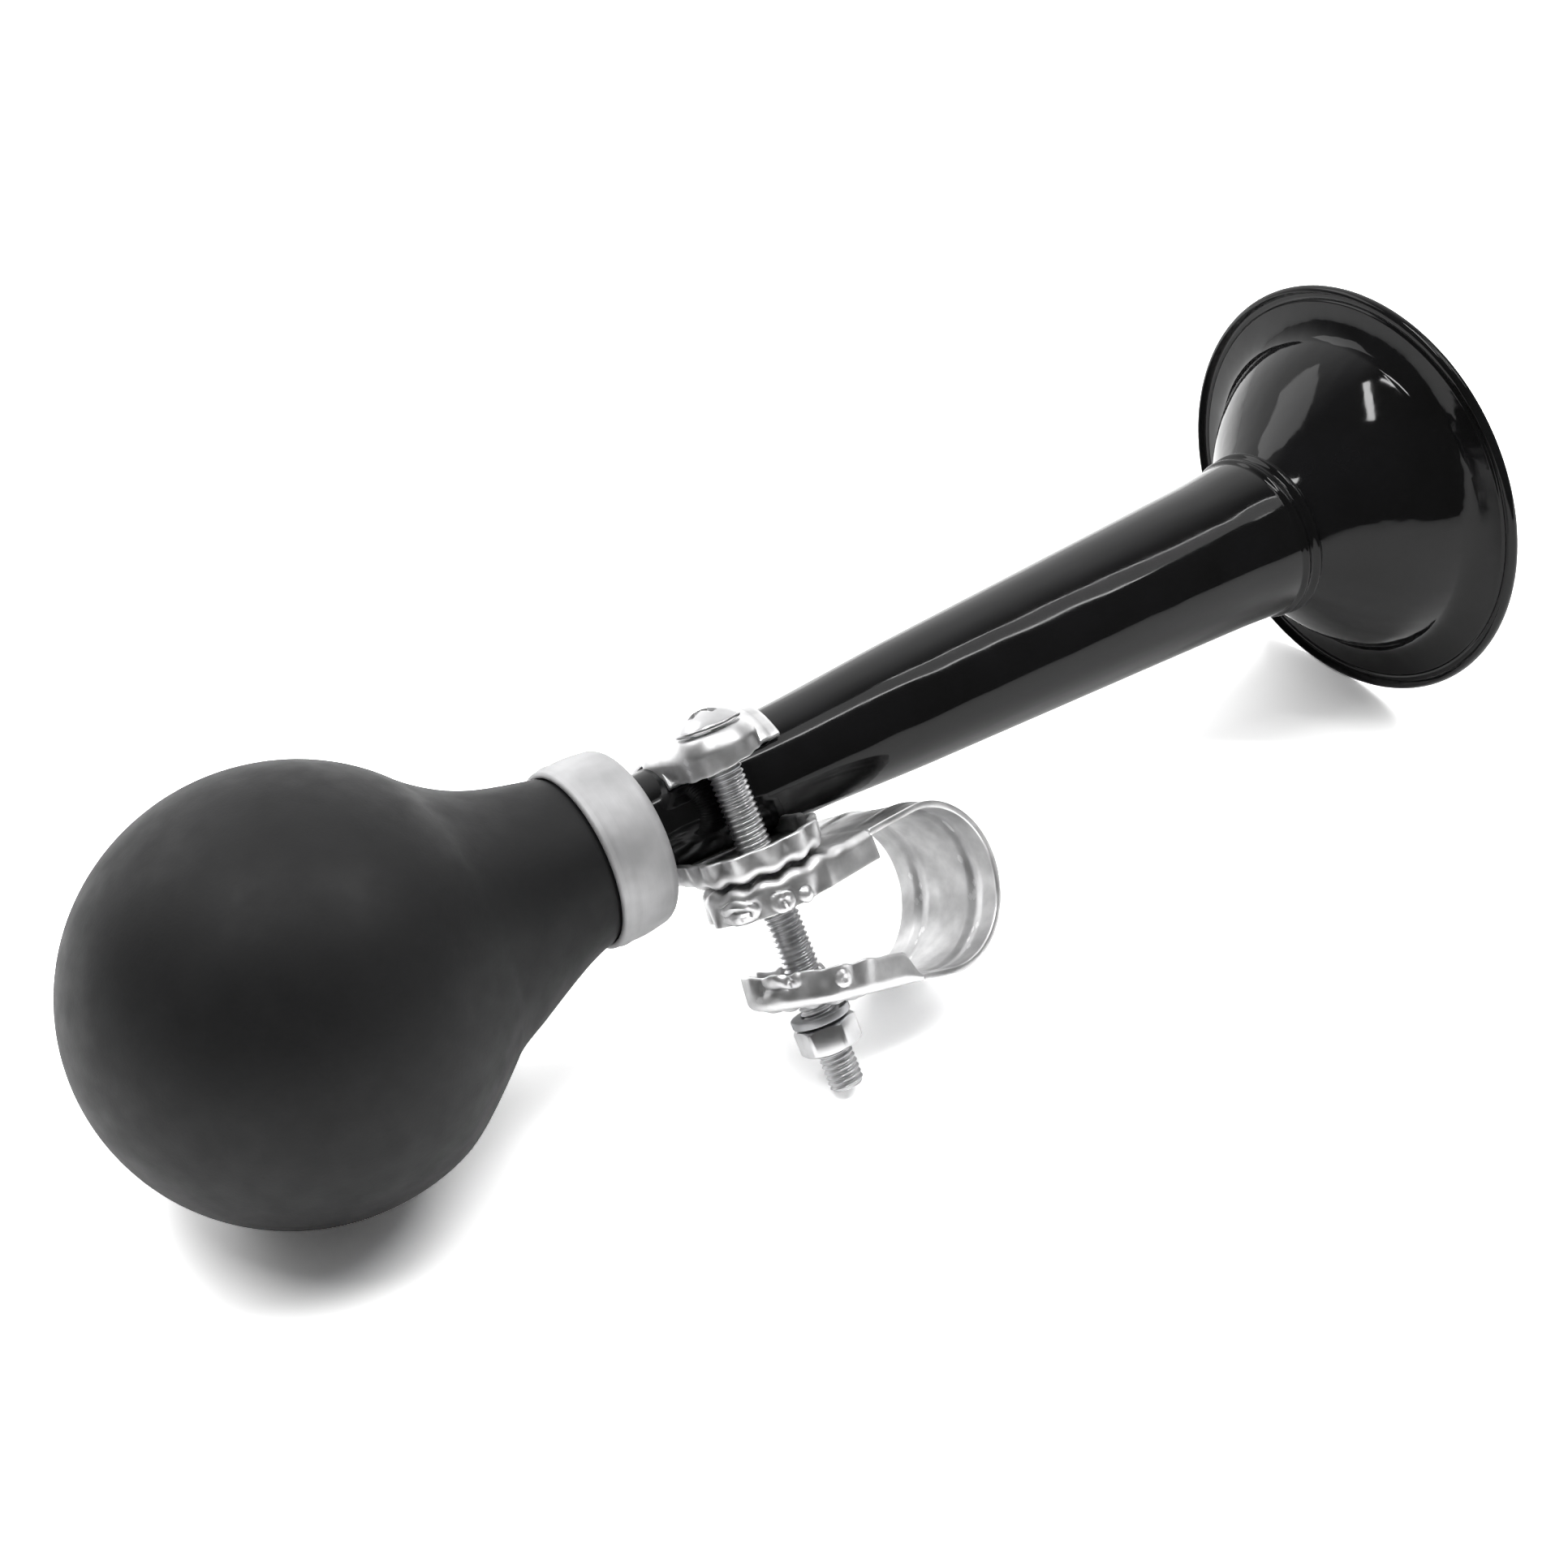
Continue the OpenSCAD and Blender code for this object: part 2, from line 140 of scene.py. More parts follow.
# Places on the clamp
BAND_X0 = RING_X1 + 1.2
BOLT_X = BAND_X0 + 0.9 + EAR_R
TAB_Z = tube_r(BOLT_X + TAB_R) + STRAP_GAP
EAR_Z = tube_r(BOLT_X + EAR_R) + STRAP_GAP
LOOP_OUT = LOOP_R + STRAP_T
LOOP_TOP = EAR_Z + STRAP_T + 1.3
LOOP_Z = -LOOP_TOP - LOOP_OUT
LEG_RUN = LOOP_REACH - LOOP_OUT * math.sin(LEG_SLOPE)
LEG_LEN = LEG_RUN / math.cos(LEG_SLOPE)
LEG_Z = LOOP_Z - LOOP_OUT * math.cos(LEG_SLOPE) + math.tan(LEG_SLOPE) * LEG_RUN
HEAD_Z = TAB_Z + STRAP_T + 1.2
END_Z = HEAD_Z - BOLT_LEN
WASHER_R0 = BOLT_R + 0.1
WASHER_R1 = WASHER_R0 + WASHER_W
WASHER_Z0 = LEG_Z - WASHER_R1 * math.tan(LEG_SLOPE) - 0.1 - WASHER_H
NUT_Z0 = WASHER_Z0 - 0.05 - NUT_H

# The horn lies on its bulb, the rim of its bell and the end of its bolt
REST_PITCH = math.atan((BELL_R - BULB_R) / RIM_X)
TIP_Y = BOLT_Y - (BOLT_R - BOLT_TIP)
TIP_H = BULB_R + BOLT_X * math.tan(REST_PITCH)
REST_ROLL = math.acos(TIP_H / math.hypot(END_Z, TIP_Y)) - math.atan(TIP_Y / -END_Z)


def turn(axis, angle):
    """3x3 rotation about a named axis, right-handed, in radians."""
    return np.array(Matrix.Rotation(angle, 3, axis))


LAY = turn("Y", -REST_PITCH) @ turn("X", -REST_ROLL)
SHIFT = np.array([-(RIM_X - BULB_R) / 2, 0.0, BULB_R])


def place(points):
    """Horn frame in mm to row frame in metres."""
    return (np.asarray(points, float) @ LAY.T + SHIFT) * 0.001


# Numbers and curves
def bump(x, width):
    """Smooth bump of height 1 at x = 0 that ends at width on both sides, a cosine wave."""
    return np.where(np.abs(x) < width, 0.5 + 0.5 * np.cos(np.pi * np.clip(x / width, -1, 1)), 0.0)


def smooth(x, a, b):
    """Smooth step t * t * (3 - 2 t) from 0 at a to 1 at b."""
    t = np.clip((x - a) / (b - a), 0, 1)
    return t * t * (3 - 2 * t)


def unit(v):
    """Vectors scaled to length 1."""
    return v / np.maximum(np.linalg.norm(v, axis=-1, keepdims=True), 1e-9)


def lengths(path):
    """Distance along a path of points, from 0."""
    return np.concatenate([[0], np.cumsum(np.linalg.norm(np.diff(path, axis=0), axis=1))])


def arc(cx, cr, radius, a0, a1, n):
    """Points (x, r) on an arc, angles in degrees from +x towards +r."""
    t = np.radians(np.linspace(a0, a1, n))
    return np.stack([cx + radius * np.cos(t), cr + radius * np.sin(t)], axis=1)


def line(x0, r0, x1, r1, n=2):
    """Points (x, r) on a straight line."""
    return np.stack([np.linspace(x0, x1, n), np.linspace(r0, r1, n)], axis=1)


def bezier(a, b, c, d, n):
    """Points on the cubic curve from a to d with handles b and c."""
    t = np.linspace(0, 1, n)[:, None]
    s = 1 - t
    a, b, c, d = map(np.asarray, (a, b, c, d))
    return s**3 * a + 3 * s * s * t * b + 3 * s * t * t * c + t**3 * d


def xyz(x, y, z):
    """Points from their coordinates, each an array or one number."""
    return np.stack(np.broadcast_arrays(x, y, z), axis=-1)


def polar(r, z, a):
    """Points at radius r, height z and angle a about the Z axis."""
    return xyz(r * np.cos(a), r * np.sin(a), z)


def set_at(points, turn_m, shift):
    """Points turned by a 3x3 matrix and then moved."""
    return points @ turn_m.T + np.asarray(shift)


def on_bolt(points):
    """Points about the Z axis moved to the bolt's axis."""
    return points + np.array([BOLT_X, -BOLT_Y, 0.0])


def mirror_z(points):
    """Points mirrored in the plane z = 0."""
    return points * np.array([1, 1, -1.0])


# Meshes
def quads(m, n, offset=0):
    """Faces of an m by n grid of points stored row by row."""
    i, j = np.meshgrid(np.arange(m - 1), np.arange(n - 1), indexing="ij")
    a = (i * n + j).ravel() + offset
    return np.stack([a, a + 1, a + n + 1, a + n], axis=1)


def uv_grid(u, v):
    """UV of a grid; of u and v one changes by row and the other by column."""
    return np.stack(np.broadcast_arrays(u, v), axis=-1)


def no_uv(grid):
    """UV of zeros for a grid whose material doesn't read it."""
    return np.zeros(grid.shape[:2] + (2,))


def build(name, grids, look, body, stands_for, sharp=38):
    """One closed object from grids of points, each (m, n, 3) with its (m, n, 2) UV.
    Points that coincide are joined, so seams, poles and edge strips close. Edges over
    sharp degrees are shaded sharp."""
    points, faces, uvs, start = [], [], [], 0
    for p, uv in grids:
        m, n = p.shape[:2]
        points.append(p.reshape(-1, 3))
        uvs.append(uv.reshape(-1, 2))
        faces.append(quads(m, n, start))
        start += m * n
    points, faces, uvs = place(np.vstack(points)), np.vstack(faces), np.vstack(uvs)
    mesh = bpy.data.meshes.new(name)
    mesh.vertices.add(len(points))
    mesh.vertices.foreach_set("co", points.ravel())
    mesh.loops.add(faces.size)
    mesh.loops.foreach_set("vertex_index", faces.ravel())
    mesh.polygons.add(len(faces))
    mesh.polygons.foreach_set("loop_start", np.arange(0, faces.size, 4))
    mesh.update(calc_edges=True)
    layer = mesh.uv_layers.new(name="UVMap")
    layer.data.foreach_set("uv", uvs[faces.ravel()].ravel())
    bm = bmesh.new()
    bm.from_mesh(mesh)
    bmesh.ops.remove_doubles(bm, verts=bm.verts, dist=2e-6)
    bmesh.ops.dissolve_degenerate(bm, edges=bm.edges, dist=1e-7)
    bmesh.ops.recalc_face_normals(bm, faces=bm.faces)
    bm.to_mesh(mesh)
    bm.free()
    mesh.shade_smooth()
    mesh.set_sharp_from_angle(angle=math.radians(sharp))
    obj = bpy.data.objects.new(name, mesh)
    bpy.context.scene.collection.objects.link(obj)
    obj.data.materials.append(look)
    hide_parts(stands_for)
    if body:
        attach(obj, body)
    return obj


def lathe(profile, n=256, wobble=None):
    """Profile rows (x, r) turned about the horn's axis; off the axis wobble(x, angle) is
    added to r. U runs once round, and V is 0.01 for each mm along the profile."""
    a = np.linspace(0, 2 * np.pi, n + 1)
    a[-1] = 0.0
    x = np.repeat(profile[:, :1], n + 1, axis=1)
    r = np.repeat(profile[:, 1:], n + 1, axis=1)
    if wobble is not None:
        r = r + wobble(x, a[None, :]) * (r > 0.01)
    uv = uv_grid(np.linspace(0, 1, n + 1)[None, :], lengths(profile)[:, None] * 0.01)
    return xyz(x, r * np.cos(a), r * np.sin(a)), uv


def round_edge(middle, normal, outward):
    """Three rows round the edge of a sheet: middle + sin(a) * normal * t / 2 + 0.22 t *
    cos(a) * outward, with t the sheet's thickness and a = 50, 0 and -50 degrees."""
    a = np.radians([50, 0, -50])[:, None, None]
    return middle + normal * np.sin(a) * STRAP_T / 2 + outward * np.cos(a) * STRAP_T * 0.22


def thick(mid):
    """Closed grids round a sheet of the straps' thickness whose middle surface is mid,
    (m, n, 3). One runs over the upper side, round an edge, back along the lower side and
    round the other edge, and two strips close the first and the last column."""
    normal = unit(np.cross(np.gradient(mid, axis=0), np.gradient(mid, axis=1)))
    top = mid + normal * STRAP_T / 2
    low = mid - normal * STRAP_T / 2
    end = round_edge(mid[-1], normal[-1], unit(mid[-1] - mid[-2]))
    start = round_edge(mid[0], -normal[0], unit(mid[0] - mid[1]))
    body = np.concatenate([top, end, low[::-1], start, top[:1]])
    step = lengths(body[:, body.shape[1] // 2]) * 0.01
    side = lengths(mid[len(mid) // 2]) * 0.01
    grids = [(body, uv_grid(step[:, None], side[None, :]))]
    for j, inner in ((0, 1), (-1, -2)):
        strip = round_edge(mid[:, j], normal[:, j], unit(mid[:, j] - mid[:, inner]))
        strip = np.stack([top[:, j], *strip, low[:, j]], axis=1)
        first = np.stack([top[0, j], *start[::-1, j], low[0, j]])
        last = np.stack([top[-1, j], *end[:, j], low[-1, j]])
        strip = np.concatenate([first[None], strip, last[None]])
        grids.append((strip, no_uv(strip)))
    return grids


# Nodes
def rgb(text):
    """sRGB hex to linear RGBA."""
    c = np.array([int(text[i:i + 2], 16) / 255 for i in (1, 3, 5)])
    c = np.where(c <= 0.04045, c / 12.92, ((c + 0.055) / 1.055) ** 2.4)
    return (*c, 1.0)


def node(tree, kind, inputs=None, **settings):
    """Adds a node; inputs maps socket names to a value or to another node's output."""
    n = tree.nodes.new(kind)
    for key, value in settings.items():
        setattr(n, key, value)
    for key, value in (inputs or {}).items():
        socket = n.inputs[key]
        if isinstance(value, bpy.types.NodeSocket):
            tree.links.new(value, socket)
        else:
            socket.default_value = value
    return n


def material(name, **base):
    """New material, its node tree and its shader, whose sockets take the values in base."""
    m = bpy.data.materials.new(name)
    m.use_nodes = True
    shader = m.node_tree.nodes["Principled BSDF"]
    for key, value in base.items():
        shader.inputs[key.replace("_", " ")].default_value = value
    return m, m.node_tree, shader


def grain(tree, size, detail=4.0, stretch=(1, 1, 1), coords="Object", seed=0.0, spread=None):
    """Noise value whose patches are size mm wide, divided by stretch along each axis. In a
    lathe's UV, size is thousandths of a turn and, along the profile, tenths of a mm. Its
    middle values, 0.3 to 0.7, are spread over the two numbers in spread where given."""
    per_metre = round(1000 / size)
    c = node(tree, "ShaderNodeTexCoord")
    mapping = node(tree, "ShaderNodeMapping",
                   {"Vector": c.outputs[coords], "Scale": stretch, "Location": (seed, seed, 0)})
    noise = node(tree, "ShaderNodeTexNoise",
                 {"Vector": mapping.outputs[0], "Scale": per_metre, "Detail": detail}).outputs["Fac"]
    if spread is None:
        return noise
    low, high = spread
    return node(tree, "ShaderNodeMapRange", {"Value": noise, "From Min": 0.3, "From Max": 0.7,
                                             "To Min": low, "To Max": high}).outputs[0]


def finish(tree, shader, tint, dark, light, rough=None, height=None, strength=0.0, depth=0.0):
    """Gives a shader its patterns: a base colour from dark to light, both sRGB hex, by the
    value tint, a roughness value, and relief depth mm high by the value height."""
    colour = node(tree, "ShaderNodeMix", {0: tint, 6: rgb(dark), 7: rgb(light)}, data_type="RGBA")
    tree.links.new(colour.outputs[2], shader.inputs["Base Color"])
    if rough is not None:
        tree.links.new(rough, shader.inputs["Roughness"])
    if height is not None:
        relief = node(tree, "ShaderNodeBump",
                      {"Height": height, "Strength": strength, "Distance": depth * 0.001})
        tree.links.new(relief.outputs[0], shader.inputs["Normal"])


# Materials
def moulded_rubber():
    """Moulded black rubber: a wide dull sheen that changes a little in patches of 17 and
    4 mm, and the mould's fine grain, drawn 0.4 mm wide so that it shows."""
    m, tree, shader = material("black_rubber", Specular_IOR_Level=0.26)
    finish(tree, shader, grain(tree, 16.7, 6, spread=(0, 1)), "#171718", "#1e1e1f",
           rough=grain(tree, 4.17, 5, seed=3.0, spread=(0.48, 0.58)),
           height=grain(tree, 0.3846, 3), strength=0.12, depth=0.12)
    return m


def gloss_enamel():
    """Stoved black enamel on sheet steel: deep gloss, whose lines waver because the paint
    flowed in slight waves 9 mm wide and three times as long."""
    m, tree, shader = material("black_enamel", Specular_IOR_Level=0.26)
    finish(tree, shader, grain(tree, 11.1, 3, spread=(0, 1)), "#0e0e0e", "#141415",
           rough=grain(tree, 2.0, 4, seed=5.0, spread=(0.05, 0.09)),
           height=grain(tree, 9.09, 2.5, (0.3, 1, 1)), strength=0.28, depth=0.7)
    return m


def satin_aluminium():
    """Turned and tumbled aluminium: pale and nearly matt. The two noises stretched round the
    ring are the marks of turning, under 0.1 mm wide and about a fifth of a turn long."""
    m, tree, shader = material("satin_aluminium", Metallic=0.6)
    finish(tree, shader, grain(tree, 7.14, 3, spread=(0, 1)), "#b0b0b1", "#cececf",
           rough=grain(tree, 33.3, 4, (0.2, 60, 1), "UV", spread=(0.56, 0.7)),
           height=grain(tree, 33.3, 3, (0.15, 90, 1), "UV"), strength=0.1, depth=0.05)
    return m


def zinc_plate():
    """Zinc on pressed sheet steel: soft silvery patches of 4 mm. Pointiness darkens what is
    bent inwards, a painted shade in the hollows of the bends, and lightens the edges and outward bends."""
    m, tree, shader = material("zinc_plated_steel", Metallic=1.0)
    # Painted shade: the tint goes dark in the inward bends, where shade falls, and lighter on the edges and
    # outward bends
    bends = node(tree, "ShaderNodeNewGeometry").outputs["Pointiness"]
    painted_shade_in_bends_lighter_edges = node(tree, "ShaderNodeMapRange", {"Value": bends, "From Min": 0.47, "From Max": 0.53,
                                             "To Min": -0.5, "To Max": 0.2})
    tint_with_painted_bend_shade = node(tree, "ShaderNodeMath",
                {0: grain(tree, 3.85, 5, spread=(0.25, 0.75)), 1: painted_shade_in_bends_lighter_edges.outputs[0]}, operation="ADD")
    finish(tree, shader, tint_with_painted_bend_shade.outputs[0], "#b4b4b5", "#ffffff",
           rough=grain(tree, 3.33, 4, seed=2.0, spread=(0.34, 0.48)),
           height=grain(tree, 2.38, 2), strength=0.1, depth=0.12)
    return m


def plain_metal(name, roughness, dark, light, size=5.0, detail=3):
    """Metal of even finish whose tint changes in patches of size mm."""
    m, tree, shader = material(name, Metallic=1.0, Roughness=roughness)
    finish(tree, shader, grain(tree, size, detail, spread=(0, 1)), dark, light)
    return m


rubber = moulded_rubber()
enamel = gloss_enamel()
aluminium = satin_aluminium()
zinc = zinc_plate()
# Bright zinc on the rolled thread and the nut, brighter than the sheet
bright_zinc = plain_metal("bright_zinc_plated_steel", 0.28, "#c5c5c6", "#e7e7e8")
# Hardened spring steel, greyer and duller; its darker tint is partly painted shade, for the shade under the
# clamp's leg
spring_steel_painted_shade = plain_metal("dull_spring_steel", 0.42, "#a4a5a7", "#c2c3c5")
# Rolled brass sheet, warm yellow
brass = plain_metal("reed_brass", 0.3, "#b58a41", "#cfa55b", detail=4)
# Moulded polystyrene, cream and half matt
plastic, _, _ = material("cream_plastic", Base_Color=rgb("#d8d2c0"), Roughness=0.5)


# Horn
def rubber_bulb():
    """Ball, blend and neck as one profile (x, r). The ball is an arc down to 46 degrees
    off the axis. The blend is a cubic curve that leaves it along its tangent and meets
    the neck 13 degrees off the axis. Then come the neck's round end, the bore over the
    tube and the cavity. The rubber sags: with s = (1 - sin(angle)) / 2, the share that
    lies below, the skin gains 1.1 (s - 1/2) at the blend and loses 1.0 s at the ball's
    end, each under a bump along x."""
    ball_end_deg = 46.0
    leaves = math.radians(ball_end_deg)
    taper = math.radians(13)
    ball_end = BULB_R * np.array([math.cos(leaves), math.sin(leaves)])
    neck_start = np.array([BLEND_X + 0.05, NECK_R + 0.15])
    ball_handle = 5.1 * np.array([math.sin(leaves), -math.cos(leaves)])
    neck_handle = 9.2 * np.array([math.cos(taper), -math.sin(taper)])
    ball = arc(0, 0, BULB_R, 180, ball_end_deg, 110)
    blend = bezier(ball_end, ball_end + ball_handle, neck_start - neck_handle, neck_start, 50)
    skin = np.vstack([ball, blend[1:]])

    neck_r = NECK_R - NECK_GAP
    corner = 0.4
    neck = np.vstack([
        line(*neck_start, RING_X0, neck_r, 3)[1:],
        line(RING_X0, neck_r, NECK_END - corner, neck_r, 12)[1:],
        arc(NECK_END - corner, neck_r - corner, corner, 90, 0, 5)[1:],
        line(NECK_END, neck_r - corner - 0.05, NECK_END, tube_r(NECK_END) + NECK_GAP + 0.01, 4),
    ])
    touch = math.degrees(math.acos(BLEND_X / (BULB_R + BLEND_R)))
    inside = np.vstack([
        line(NECK_END - 0.05, tube_r(NECK_END) + NECK_GAP, BLEND_X, tube_r(BLEND_X) + NECK_GAP, 6),
        line(BLEND_X, tube_r(BLEND_X) + NECK_GAP + 0.05, BLEND_X, NECK_R - BULB_WALL, 5),
        arc(BLEND_X, NECK_R + BLEND_R, BLEND_R + BULB_WALL, 270, 180 + touch, 30)[1:],
        arc(0, 0, BULB_R - BULB_WALL, touch, 180, 60)[1:],
    ])
    profile = np.vstack([skin, neck, inside])
    profile[[0, -1], 1] = 0.0

    def sag(x, angle):
        """What the sag adds to the skin's radius; the rows after the skin stay as they are."""
        below = (1 - np.sin(angle)) / 2
        at_blend = 1.1 * (below - 0.5) * bump(x - 29.5, 11)
        at_ball_end = 1.0 * below * bump(x - 18, 10)
        return np.where(np.arange(len(x))[:, None] < len(skin), at_blend - at_ball_end, 0)

    bulb = build("rubber_bulb", [lathe(profile, wobble=sag)], rubber, None, "bulb")
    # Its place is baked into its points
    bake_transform(bulb)


def neck_ring_cup():
    """Pressed cup: a small curled lip at the bulb's side, a wall that swells by 0.3 mm in
    its middle and has a fine bead behind the lip, a round shoulder, and an end wall down
    to a small round foot on the tube."""
    lip_r = 0.6
    shoulder = 1.9
    foot_r = 0.35
    foot_z = tube_r(RING_X1)
    hollow_x = RING_X1 - RING_WALL
    hollow_r = 0.6
    x = np.linspace(RING_X0 + 0.9, RING_X1 - shoulder, 40)
    swell = 0.3 * np.sin(np.pi * (x - x[0]) / (x[-1] - x[0]))
    bead = 0.22 * bump(x - RING_X0 - 1.6, 1.3)
    profile = np.vstack([
        line(RING_X0 + 0.35, NECK_R, RING_X0 + 0.1, NECK_R + 0.12),
        arc(RING_X0 + lip_r, RING_R - 0.45, lip_r, 200, 110, 12),
        np.stack([x, RING_R + swell + bead], axis=1),
        arc(RING_X1 - shoulder, RING_R - shoulder, shoulder, 90, 0, 18)[1:],
        line(RING_X1, RING_R - shoulder - 0.3, RING_X1, foot_z + foot_r, 6),
        arc(RING_X1 + foot_r, foot_z + foot_r, foot_r, 180, 270, 6)[1:],
        line(RING_X1 + foot_r + 0.01, foot_z - 0.05, hollow_x, foot_z - 0.05),
        line(hollow_x, foot_z + 0.1, hollow_x, NECK_R - hollow_r, 5),
        arc(hollow_x - hollow_r, NECK_R - hollow_r, hollow_r, 0, 90, 6)[1:],
        line(RING_X1 - 2.0, NECK_R, RING_X0 + 0.35, NECK_R, 6),
    ])
    build("neck_ring_cup", [lathe(profile)], aluminium, "horn", "neck_ring")


def black_tube():
    """Cone of sheet: r = cone + ridges + fuller. Two ridges rolled into it near the bell are
    bumps of 0.5 and 0.7 mm, and past the strap it is drawn up to 0.55 mm fuller than the
    cone in two smooth steps, as the photograph shows it."""
    narrow_end = 60
    ridges_start = 165
    x = np.concatenate([np.linspace(TUBE_X0, narrow_end, 24),
                        np.linspace(narrow_end, ridges_start, 60)[1:],
                        np.linspace(ridges_start, TUBE_X1, 70)[1:]])
    ridges = sum(height * bump(x - at, width) for at, width, height in RIDGES)
    fuller = sum(height * smooth(x, start, end) for start, end, height in FULLER)
    outer = np.stack([x, tube_r(x) + ridges + fuller], axis=1)
    inner = np.stack([x, tube_r(x) - TUBE_WALL], axis=1)[::-6]
    profile = np.vstack([outer, inner, outer[:1]])
    build("black_tube", [lathe(profile)], enamel, "horn", "horn_tube")


def black_bell():
    """Outside of the bell as two cubic curves, a domed cone and a flared lip, with a tight
    hollow between them and a bead of 0.22 mm beside the rim. The inside is the same
    curves moved in by the wall, a roll of 250 degrees closes the rim, and a sleeve sits
    in the tube's end."""
    neck = np.array([TUBE_X1 + 0.05, TUBE_R1 + 0.1])
    bowl = np.array([RIM_X - LIP_LEN, BOWL_R])
    rim = np.array([RIM_X - BEAD_R, BELL_R - BEAD_R])
    along, out = bowl - neck
    lip = rim[1] - bowl[1]
    dome = bezier(neck, neck + [0.32 * along, 0.28 * out], bowl - [0.42 * along, 0.25 * out], bowl, 60)
    flare = bezier(bowl, bowl + [0.4 * LIP_LEN, 0.14 * lip], rim - [0.16 * LIP_LEN, 0.6 * lip], rim, 90)
    skin = np.vstack([dome, flare[1:]])
    tangent = np.gradient(skin, axis=0)
    side = unit(np.stack([tangent[:, 1], -tangent[:, 0]], axis=1))
    inside = skin + side * BELL_WALL
    from_rim = np.linalg.norm(skin - rim, axis=1)
    skin += side * 0.22 * bump(from_rim - 1.3, 0.4)[:, None]
    start = math.degrees(math.atan2(-side[-1, 1], -side[-1, 0]))
    rolled = arc(*rim, BEAD_R, start, start - 250, 26)

    sleeve_r = TUBE_R1 - TUBE_WALL - 0.02
    sleeve_end = sleeve_r - 0.17
    bore_r = sleeve_r - BELL_WALL
    sleeve_x = TUBE_X1 - SLEEVE_LEN
    profile = np.vstack([
        line(sleeve_x, sleeve_end, TUBE_X1, sleeve_r, 5),
        skin[:-3], rolled, inside[-7:2:-3],
        line(TUBE_X1, bore_r, sleeve_x, bore_r, 5),
        line(sleeve_x, bore_r, sleeve_x, sleeve_end),
    ])
    build("black_bell", [lathe(profile, 320)], enamel, "horn", "bell")


# Ears of the straps
def blank_ear(radius, reach, flange):
    """Middle surface of a plain ear, and for each column the way out of the ear. Rows run
    from the bolt hole over the plate, round a bend and down the turned edge; columns
    follow the outline, from one side at x = reach round the half disc to the other side.
    The plate lies on z = 0 and the edge points to -z."""
    flat = radius - STRAP_T / 2 - EAR_BEND
    half = np.linspace(-np.pi / 2, -3 * np.pi / 2, 97)
    side = np.linspace(reach, 0, 28)[:-1]
    none = 0 * side
    edge = xyz(np.concatenate([side, flat * np.cos(half), side[::-1]]),
               np.concatenate([none - flat, flat * np.sin(half), none + flat]), 0.0)
    way = xyz(np.concatenate([none, np.cos(half), none]),
              np.concatenate([none - 1, np.sin(half), none + 1]), 0.0)
    lead = np.linspace(reach, EAR_HOLE, 14)[:-1]
    quarter = np.linspace(0, -np.pi / 2, 15)[:-1]
    round_hole = np.concatenate([quarter, half, -quarter[::-1]])
    hole = xyz(np.concatenate([lead, EAR_HOLE * np.cos(round_hole), lead[::-1]]),
               np.concatenate([0 * lead, EAR_HOLE * np.sin(round_hole), 0 * lead]), 0.0)
    up = np.array([0, 0, 1.0])
    plate = hole + (edge - hole) * np.linspace(0, 1, 30)[:, None, None]
    a = np.radians(np.arange(15, 91, 15))[:, None, None]
    bend = edge + way * EAR_BEND * np.sin(a) - up * EAR_BEND * (1 - np.cos(a))
    drop = np.linspace(0, flange - STRAP_T / 2 - EAR_BEND, 13)[1:, None, None]
    skirt = edge + way * EAR_BEND - up * (EAR_BEND + drop)
    return np.concatenate([plate, bend, skirt]), way


def pressed_knob(span, ring):
    """How far a knob stands out at a distance span from its middle: a ball of 0.7 mm where
    ring is 0, a pressed ring of that radius above 0, and a dimple below 0."""
    if ring > 0:
        return 0.38 * bump(span - ring, 0.5)
    if ring < 0:
        return -0.5 * bump(span, 1.1)
    return 0.55 * np.sqrt(np.clip(1 - (span / 0.7) ** 2, 0, 1))


def ear(radius, reach, flange, teeth=0.0, pleat=0.0, fade=(20, 21), edge_wave=0.0, knobs=(),
        boss=0.0, taper=0.0, lean=0.0):
    """Middle surface of a pressed ear; the first three arguments are those of its blank.
    With w = (1 + cos(12 (angle - 15 degrees))) / 2, the plate rises by teeth * w, less of
    it between the radii in fade, the turned edge stands out by pleat * (w - 1/2), and its
    end rises by edge_wave * w. Each knob is (x, depth, ring), on the turned edge at -y.
    Round the bolt hole the plate swells by boss, which ends between the radii 4.3 and
    5.5 mm. Over the last taper mm before reach the turned edge runs out to nothing. Its
    depth changes by the share lean, deeper at +y and less deep at -y."""
    p, way = blank_ear(radius, reach, flange)
    x, y, z = p[..., 0], p[..., 1], p[..., 2]
    rho = np.hypot(x, y)
    wave = (1 + np.cos(TEETH * (np.arctan2(y, x) - np.pi / TEETH))) / 2
    near = smooth(rho, EAR_HOLE + 1.6, EAR_HOLE + 2.6) * (1 - smooth(x, 5.0, 8.5))
    down = smooth(-z, 0.3, flange - 0.4)
    out = pleat * (wave - 0.5) * (1 - smooth(x, 1.0, 5.0)) * down
    for knob_x, depth, ring in knobs:
        span = np.hypot(x - knob_x, z + depth)
        out += pressed_knob(span, ring) * (down > 0) * (y < 0)
    z *= 1 + lean * y / radius * (z < 0)
    if taper:
        z *= 1 - 0.93 * smooth(x, reach - taper, reach)
    z += boss * (1 - smooth(rho, 4.3, 5.5)) * (1 - down)
    z += teeth * wave * near * (1 - smooth(rho, *fade)) * (1 - 0.5 * down)
    z += edge_wave * wave * near * down**3
    return p + way * out[..., None]


